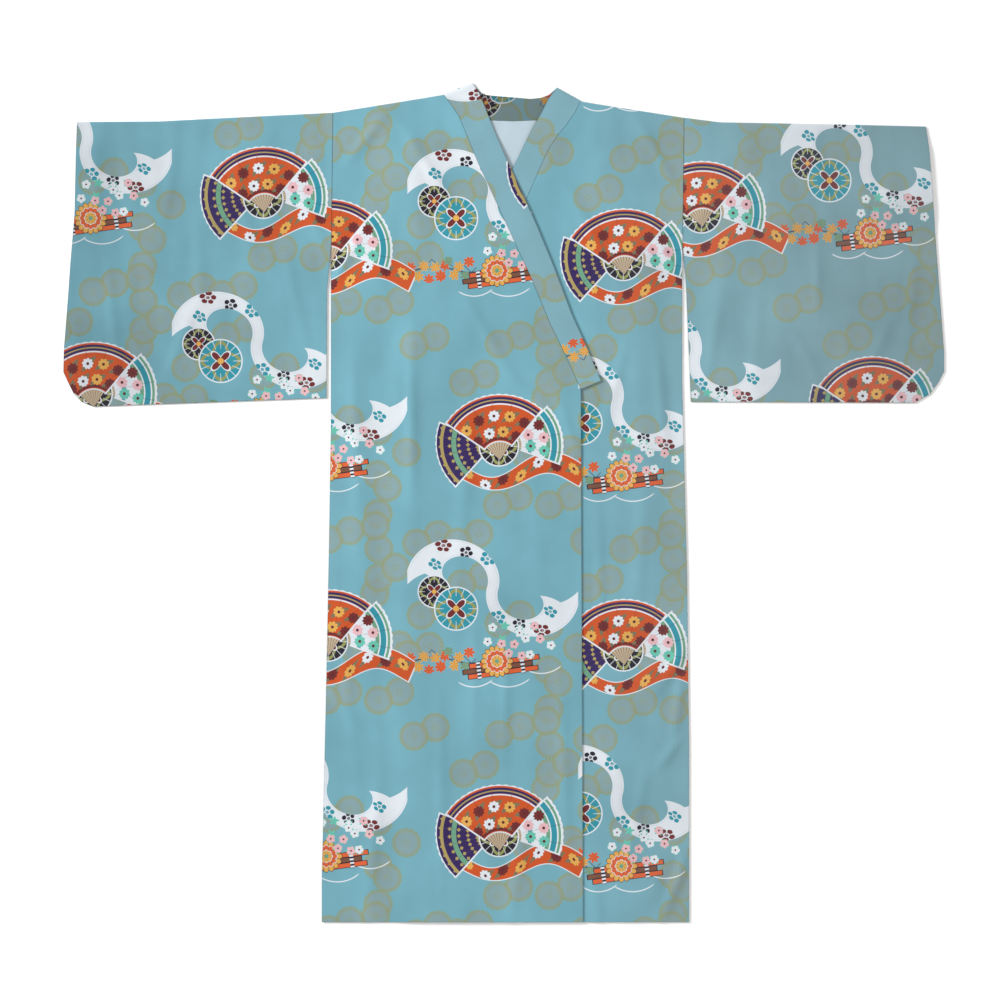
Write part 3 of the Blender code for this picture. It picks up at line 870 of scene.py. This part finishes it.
def maple_twig(tree, x, y, colour):
    bend = (x * 0.055).worked("SINE").times_plus(5.0, -4.0)
    twig = (y - bend).size().within(1.2) * (x + 62.0).size().within(62.0)
    fork = (y - bend - (x.repeated(26.0) * 0.9).size()).size()
    side = fork.within(0.8) * (x + 58.0).size().within(40.0)
    colour = laid_over(tree, colour, twig.worked("MAXIMUM", side), STEM)
    for place, reach, seed in ((-70.0, 58.0, 7.3), (-58.0, 44.0, 2.6)):
        off_x, off_y, at_x, at_y, parts = scattered(tree, x, y + seed, 19.0, 8.0, seed)
        chance, warm, turn = parts
        radius, angle = polar(off_x, off_y)
        lobes = ((angle + turn * 5.0) * 3.5).worked("COSINE").size()
        leaf = radius - lobes.worked("POWER", 1.4).times_plus(4.4, 5.6 - 0.1 * seed)
        near = length_of(at_x - place, (at_y - 2.0) * 2.6).within(reach, 0.01)
        near = near * chance.within(0.76, 0.001)
        tint = laid_over(tree, MAPLE, warm.beyond(0.55, 0.05), YELLOW)
        tint = laid_over(tree, tint, turn.beyond(0.86, 0.05), GREEN)
        colour = laid_over(tree, colour, leaf.within(0.0) * near, tint)
        veins = lobes.beyond(0.94, 0.06) * radius.within(7.0)
        colour = laid_over(tree, colour, veins * near * 0.7, DEEP_ORANGE)
    return colour


def raft(tree, x, y, colour):
    """Three ripples, three tied poles, and one large chrysanthemum on them."""
    for middle_x, middle_y, size in ((88.0, 24.0, 50.0), (-22.0, -2.0, 46.0), (34.0, 6.0, 54.0)):
        radius, angle = polar(x - middle_x, y - middle_y)
        ripple = (radius - size).size().within(0.9) * (angle + 1.5).size().within(0.62, 0.1)
        colour = laid_over(tree, colour, ripple, WHITE)
    raft_x, raft_y = turned(x - 22.0, y + 16.0, 8.0)
    for rise, shift, pole in ((8.6, 7.0, MAPLE), (0.0, -5.0, BROWN), (-8.6, 3.0, MAPLE)):
        off_x, off_y = (raft_x - shift).size(), (raft_y - rise).size()
        colour = laid_over(tree, colour, off_y.within(4.4) * off_x.within(58.4), NEAR_BLACK)
        colour = laid_over(tree, colour, off_y.within(3.4) * off_x.within(57.0), pole)
    tied = (raft_x.size() - 36.0).size().within(3.2) * raft_y.size().within(14.6)
    colour = laid_over(tree, colour, tied, NEAR_BLACK)
    colour = laid_over(tree, colour, tied * raft_y.repeated(6.0).size().within(1.5), WHITE)
    radius, angle = polar(x - 16.0, y + 6.0)
    for size, petals, petal in ((26.0, 16.0, YELLOW), (18.0, 12.0, MAPLE), (10.0, 8.0, YELLOW)):
        beyond, wave = blossom(radius, angle, size, petals, 0.16)
        colour = laid_over(tree, colour, beyond.within(1.0), NEAR_BLACK if size > 20.0 else WHITE)
        colour = laid_over(tree, colour, beyond.within(0.0), petal)
        colour = laid_over(tree, colour, beyond.within(0.0) * wave.within(0.24, 0.2) * 0.8, BROWN)
    return laid_over(tree, colour, radius.within(3.4), GREEN)


def blossoms(tree, x, y, colour):
    """White and pink blossoms, and pale green leaves in more places than the blossoms."""
    for place_x, place_y, reach, seed in ((34.0, 38.0, 62.0, 4.1), (52.0, 30.0, 54.0, 8.8)):
        off_x, off_y, at_x, at_y, parts = scattered(tree, x, y + seed, 21.0, 9.0, seed)
        chance, pale, turn = parts
        radius, angle = polar(off_x, off_y)
        lobes = ((angle + turn * 6.0) * 2.5).worked("COSINE").size()
        near = length_of(at_x - place_x, (at_y - place_y) * 2.3).within(reach, 0.01)
        here = near * chance.within(0.6, 0.001)
        tint = laid_over(tree, WHITE, pale.beyond(0.6, 0.05), PINK)
        leafy = (radius + lobes * 5.2).within(9.4) * near * chance.within(0.78, 0.001)
        colour = laid_over(tree, colour, leafy, PALE_GREEN)
        colour = laid_over(tree, colour, (radius - lobes * 2.2).within(5.4) * here, tint)
        colour = laid_over(tree, colour, radius.within(1.5) * here, EYE)
    return colour


def roundels(tree, x, y, colour):
    at_x, at_y = placed(x, y, 240.0, 256.0)
    for start, seed in ((0.0, 2.4), (0.5, 6.1)):
        colour = chained_roundels(tree, at_x, at_y, colour, start, seed)
    for seed, shift_x, shift_y, share in ((1.7, 0.0, 0.0, 0.27), (1.7, 0.5, 0.22, 0.21)):
        colour = scattered_roundels(tree, x, y, colour, seed, shift_x, shift_y, share)
    return colour


def ribbon_and_balls(tree, x, y, colour):
    colour = ribbon(tree, x, y, colour)
    colour = thread_ball(tree, x + 96.0, y + 6.0, colour, 25.0, NEAR_BLACK, DARK_RED, YELLOW)
    return thread_ball(tree, x + 60.0, y + 34.0, colour, 34.0, TURQUOISE, DARK_RED, YELLOW)


def fans_and_sash(tree, x, y, colour):
    colour = sash(tree, x - 34.0, y + 46.0, colour)
    frets = ((68.0, 4.0, GREEN), (88.0, 2.6, DULL_GOLD))
    colour = fan(tree, x + 8.0, y - 4.0, colour, 104.0, 26.0, 97.0, 34.0, PURPLE, frets, None, 9.0)
    stripes = (
        (77.0, 4.5, TURQUOISE), (67.0, 3.2, GREEN), (86.0, 2.0, GREEN), (38.0, 3.0, TURQUOISE),
    )
    mums = (PINK, PALE_GREEN, DARK_RED)
    colour = fan(tree, x - 12.0, y, colour, -78.0, 24.0, 91.0, 32.0, WHITE, stripes, mums, 9.0)
    colour = thread_ball(tree, x + 2.0, y + 2.0, colour, 31.0, NEAR_BLACK, DARK_RED, DULL_GOLD)
    stripes = (
        (98.0, 5.0, PURPLE), (91.5, 1.2, WHITE), (98.0, 1.1, DULL_GOLD), (35.0, 2.4, DARK_RED),
    )
    mums = (WHITE, YELLOW, DARK_RED)
    return fan(tree, x, y + 24.0, colour, 8.0, 30.0, 107.0, 48.0, ORANGE, stripes, mums, 9.0)


# Each motif's middle in the repeat, and how far it reaches from there, with some room to spare
Motif = namedtuple("Motif", "name draw x y left right low high")
MOTIFS = [
    Motif("ribbon", ribbon_and_balls, 128.0, 516.0, -140.0, 140.0, -96.0, 96.0),
    Motif("flower raft", flower_raft, 119.0, 402.0, -140.0, 126.0, -54.0, 80.0),
    Motif("fans", fans_and_sash, 140.0, 110.0, -116.0, 140.0, -90.0, 92.0),
]
NEAR = 12.0


def motifs_near(printed):
    """Which motifs come near each place of the print, as the sum of 1, 2 and 4."""
    found = np.zeros(printed.shape[:-1], int)
    for number, motif in enumerate(MOTIFS):
        column = (printed[..., 0] - motif.x) / COLUMN
        whole = np.round(column)
        rise = (printed[..., 1] - motif.y) / REPEAT - whole / 2
        x = (column - whole) * COLUMN
        y = (rise - np.round(rise)) * REPEAT
        beside = (x > motif.left - NEAR) & (x < motif.right + NEAR)
        level = (y > motif.low - NEAR) & (y < motif.high + NEAR)
        found += (beside & level) * 2**number
    return found


def print_group(name, draw):
    """A part of the print as a group of nodes: from a place and a colour below to a colour."""
    tree = bpy.data.node_groups.new(name, "ShaderNodeTree")
    for socket, kind in (("Across", "Float"), ("Along", "Float"), ("Below", "Color")):
        tree.interface.new_socket(socket, in_out="INPUT", socket_type="NodeSocket" + kind)
    tree.interface.new_socket("Colour", in_out="OUTPUT", socket_type="NodeSocketColor")
    given = tree.nodes.new("NodeGroupInput").outputs
    found = tree.nodes.new("NodeGroupOutput").inputs
    tree.links.new(draw(tree, Amount(tree, given[0]), Amount(tree, given[1]), given[2]), found[0])
    return tree


def motif_group(motif):
    def draw(tree, x, y, colour):
        return motif.draw(tree, *placed(x, y, motif.x, motif.y), colour)

    return print_group("Print of the " + motif.name, draw)


roundel_print = print_group("Print of the roundels", roundels)
motif_prints = [motif_group(motif) for motif in MOTIFS]


# The weave's threads, and how far in from an edge the cloth is turned and sewn
WARP_STEP = 0.9
WEFT_STEP = 0.8
SIDE_INSET = 9.0
HEM_INSET = 14.0
STITCH_STEP = 3.2

Cloth = namedtuple("Cloth", "name ground printed hemmed")
PANEL = Cloth("Printed cloth", GROUND, True, True)
WRONG_SIDE = Cloth("Wrong side of the cloth", WRONG_SIDE_PALE, False, True)
BAND = Cloth("Printed collar cloth", COLLAR_GROUND, True, False)


def mapped(tree, name):
    """A UV map's socket, and its two parts in millimetres."""
    spot = tree.nodes.new("ShaderNodeUVMap")
    spot.uv_map = name
    parts = tree.nodes.new("ShaderNodeSeparateXYZ")
    tree.links.new(spot.outputs[0], parts.inputs[0])
    first, second = (Amount(tree, parts.outputs[k]) * IN_MM for k in (0, 1))
    return spot.outputs[0], first, second


def soft_noise(tree, place, scale, detail):
    noise = tree.nodes.new("ShaderNodeTexNoise")
    noise.noise_dimensions = "2D"
    noise.inputs["Scale"].default_value = scale
    noise.inputs["Detail"].default_value = detail
    tree.links.new(place, noise.inputs["Vector"])
    return Amount(tree, noise.outputs["Fac"])


def print_colour(tree, cloth, motifs, across, x, y):
    """The ground with the roundels and some motifs over it, greyer toward the viewer's right by a
    painted grey cast of the light.
    """
    # Painted light: a grey cast that grows toward the viewer's right, over the ground and again
    # over the print
    painted_cast = across.times_plus(1.15, -0.12).kept_between(0.0, 0.5)
    colour = laid_over(tree, cloth.ground, painted_cast, PAINTED_CAST_GREY)
    for group in [roundel_print] + motifs:
        printed = tree.nodes.new("ShaderNodeGroup")
        printed.node_tree = group
        for slot, value in zip(printed.inputs, (x.socket, y.socket, colour)):
            tree.links.new(value, slot)
        colour = printed.outputs["Colour"]
    return laid_over(tree, colour, painted_cast * 0.25, PAINTED_CAST_GREY)


def mottle_and_painted_shade(tree, cloth, spot, edge, place):
    """Uneven lightness: a soft random mottle, and painted shade that darkens both outer sides, a
    painted shadow along the edges and seams, and painted shade inside the neck.
    """
    across, upward, above = place
    # Painted shade: the cloth darkens toward both outer sides, as if the lamps' light fell off
    # there
    painted_shade_left = across.times_plus(-2.4, -0.62).kept_between(0.0, 1.0)
    painted_shade_right = across.times_plus(2.4, -0.9).kept_between(0.0, 1.0)
    mottle = soft_noise(tree, spot, 9.0, 3.0).times_plus(0.24, 0.7)
    shade = mottle - painted_shade_left * 0.22 - painted_shade_right * 0.13
    # Painted shadow: a thin dark line along every edge and seam
    shade = shade * edge.within(0.7, 1.2).times_plus(-0.34, 1.0)
    if not cloth.hemmed:
        # Painted shade on the collar's run that lies on the floor inside the neck
        painted_neck_shade = above.within(0.0022, 0.0004) * upward.beyond(0.6, 0.01)
        shade = shade * painted_neck_shade.times_plus(-0.45, 1.0)
    return shade


def stitches(from_edge, inset, along):
    """A row of stitches at an inset from an edge."""
    line = (from_edge - inset).size().within(0.35, 0.3)
    return line * along.repeated(STITCH_STEP).size().within(1.1, 0.2)


def cloth_relief(tree, cloth, spot, x, y, side, hem):
    """Height of the weave and of faint rumples, and of sewn edges if the cloth is hemmed."""
    warp = (x * (2 * math.pi / WARP_STEP)).worked("SINE")
    weft = (y * (2 * math.pi / WEFT_STEP)).worked("SINE")
    stretched = tree.nodes.new("ShaderNodeMapping")
    stretched.inputs["Rotation"].default_value = (0.0, 0.0, 0.12)
    stretched.inputs["Scale"].default_value = (1.5, 0.45, 1.0)
    tree.links.new(spot, stretched.inputs["Vector"])
    rumples = soft_noise(tree, stretched.outputs[0], 11.0, 1.0)
    height = warp * weft * 0.02 + rumples * 5.0
    if not cloth.hemmed:
        return height
    folded = hem.within(HEM_INSET, 2.0).worked("MAXIMUM", side.within(SIDE_INSET, 2.0))
    sewn = stitches(side, SIDE_INSET, y).worked("MAXIMUM", stitches(hem, HEM_INSET, x))
    return height + folded * 0.05 - sewn * 0.12


@cache
def cloth_material(cloth, near):
    """Plain weave, with the roundels and the motifs that come near, if it's the printed side."""
    picked = [number for number in range(len(MOTIFS)) if near & 2**number]
    name = " and ".join([cloth.name] + [MOTIFS[number].name for number in picked])
    material = bpy.data.materials.new(name)
    material.use_nodes = True
    tree = material.node_tree
    spot, x, y = mapped(tree, "print")
    _, side, hem = mapped(tree, "edges")
    coordinates = tree.nodes.new("ShaderNodeTexCoord")
    parts = tree.nodes.new("ShaderNodeSeparateXYZ")
    tree.links.new(coordinates.outputs["Object"], parts.inputs[0])
    place = [Amount(tree, parts.outputs[k]) for k in range(3)]
    colour = cloth.ground
    if cloth.printed:
        motifs = [motif_prints[number] for number in picked]
        colour = print_colour(tree, cloth, motifs, place[0], x, y)
    # The colour is multiplied by a random mottle and by painted shade and shadow
    shade = mottle_and_painted_shade(tree, cloth, spot, side.worked("MINIMUM", hem), place)
    shader = tree.nodes["Principled BSDF"]
    shader.inputs["Roughness"].default_value = 0.72
    shader.inputs["Specular IOR Level"].default_value = 0.25
    shader.inputs["Sheen Weight"].default_value = 0.12
    shader.inputs["Sheen Roughness"].default_value = 0.5
    tree.links.new(mixed(tree, 1.0, colour, shade.socket, "MULTIPLY"), shader.inputs["Base Color"])
    bump = tree.nodes.new("ShaderNodeBump")
    bump.inputs["Strength"].default_value = 0.6
    bump.inputs["Distance"].default_value = MM
    height = cloth_relief(tree, cloth, spot, x, y, side, hem)
    tree.links.new(height.socket, bump.inputs["Height"])
    tree.links.new(bump.outputs[0], shader.inputs["Normal"])
    return material


sleeve_right_edges = (SLEEVE_RIGHT_INNER, SLEEVE_RIGHT_OUTER, SLEEVE_RIGHT_BOTTOM, SLEEVE_RIGHT_TOP)
sleeve_left_edges = (SLEEVE_LEFT_INNER, SLEEVE_LEFT_OUTER, SLEEVE_LEFT_BOTTOM, SLEEVE_LEFT_TOP)

cloth_pieces = [
    ("Back", "back", "back_cloth", back_cloth(), (40.0, 130.0), CLOTH_WALL, True, PANEL),
    (
        "Front_under", "front_under", "front_cloth",
        front_cloth(SIDE_LEFT, COLLAR_UNDER, UNDER_HEM_X, under_mid),
        (-58.0, 352.0), CLOTH_WALL, True, PANEL,
    ),
    (
        "Front_over", "front_over", "front_cloth",
        front_cloth(SIDE_RIGHT, COLLAR_OVER, OVER_HEM_X, over_mid),
        (146.0, 16.0), CLOTH_WALL, False, PANEL,
    ),
    (
        "Sleeve_right", "sleeve_right", "sleeve_cloth",
        sleeve_cloth(*sleeve_right_edges, SWELLS_SLEEVE_RIGHT, CREASES_SLEEVE_RIGHT),
        (-28.0, 250.0), CLOTH_WALL, False, PANEL,
    ),
    (
        "Sleeve_left", "sleeve_left", "sleeve_cloth",
        sleeve_cloth(*sleeve_left_edges, SWELLS_SLEEVE_LEFT, CREASES_SLEEVE_LEFT),
        (94.0, -46.0), CLOTH_WALL, True, PANEL,
    ),
    ("Collar", "collar", "collar_cloth", collar_cloth(), (284.0, 150.0), COLLAR_WALL, False, BAND),
]

FLAT_SIZES = {
    "back": (0.602, 1.356, 0.78),
    "front_under": (0.423, 1.345, 0.503),
    "front_over": (0.428, 1.356, 0.509),
    "sleeve_right": (0.442, 0.960, 0.395),
    "sleeve_left": (0.428, 0.930, 0.376),
    "collar": (0.051, 1.420, 0.054),
}
RESTS_ON = {
    "back": ["surface"],
    "front_under": ["Back"],
    "front_over": ["Front_under", "Back"],
    "sleeve_right": ["surface"],
    "sleeve_left": ["surface"],
    "collar": ["surface", "Back", "Front_under"],
}

for name, node, slot, parts, shift, wall, flipped, cloth in cloth_pieces:
    piece = cloth_piece(name, parts, shift, wall, flipped, cloth)
    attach(piece, "root")
    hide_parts(node)
    width, length, area = FLAT_SIZES[node]
    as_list(RESTS_ON[node])


# The floor lies just under the cloth; the camera sees this width of it, round this middle
FLOOR_REACH = 20.0
FLOOR_DROP = 0.0002
VIEW_WIDTH = 1.642
VIEW_MIDDLE = (-0.0053, 0.0033)
LENS = 85.0
SENSOR = 36.0
WORLD_LIGHT = 0.58


def floor():
    shape = bmesh.new()
    bmesh.ops.create_grid(shape, x_segments=1, y_segments=1, size=FLOOR_REACH)
    mesh = bpy.data.meshes.new("Floor")
    shape.to_mesh(mesh)
    shape.free()
    surface = bpy.data.objects.new("Floor", mesh)
    surface.location.z = -FLOOR_DROP
    bpy.context.scene.collection.objects.link(surface)
    material = bpy.data.materials.new("Pale floor")
    material.use_nodes = True
    shader = material.node_tree.nodes["Principled BSDF"]
    shader.inputs["Base Color"].default_value = (0.95, 0.95, 0.95, 1.0)
    shader.inputs["Roughness"].default_value = 0.9
    shader.inputs["Specular IOR Level"].default_value = 0.0
    mesh.materials.append(material)
    return surface


def lamp(name, place, size, power, colour):
    """A square lamp that points at the middle of the robe."""
    light = bpy.data.lights.new(name, "AREA")
    light.shape = "SQUARE"
    light.size = size
    light.energy = power
    light.color = colour
    stand = bpy.data.objects.new(name, light)
    stand.location = place
    stand.rotation_euler = (-Vector(place)).to_track_quat("-Z", "Y").to_euler()
    bpy.context.scene.collection.objects.link(stand)
    return stand


floor()
for made in (
    lamp("Soft key", (-5.0, 2.6, 2.7), 1.6, 450.0, (0.96, 0.99, 1.0)),
    lamp("Low fill", (3.0, -1.2, 2.6), 2.6, 44.0, (1.0, 0.96, 0.92)),
):
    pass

world = bpy.data.worlds.new("Studio")
world.use_nodes = True
world.node_tree.nodes["Background"].inputs["Color"].default_value = (1.0, 1.0, 1.0, 1.0)
world.node_tree.nodes["Background"].inputs["Strength"].default_value = WORLD_LIGHT
bpy.context.scene.world = world
bpy.context.scene.view_settings.view_transform = "Standard"

camera = bpy.data.objects.new("Camera", bpy.data.cameras.new("Camera"))
camera.data.lens = LENS
camera.data.sensor_width = SENSOR
camera.location = (*VIEW_MIDDLE, VIEW_WIDTH * LENS / SENSOR)
bpy.context.scene.collection.objects.link(camera)
bpy.context.scene.camera = camera
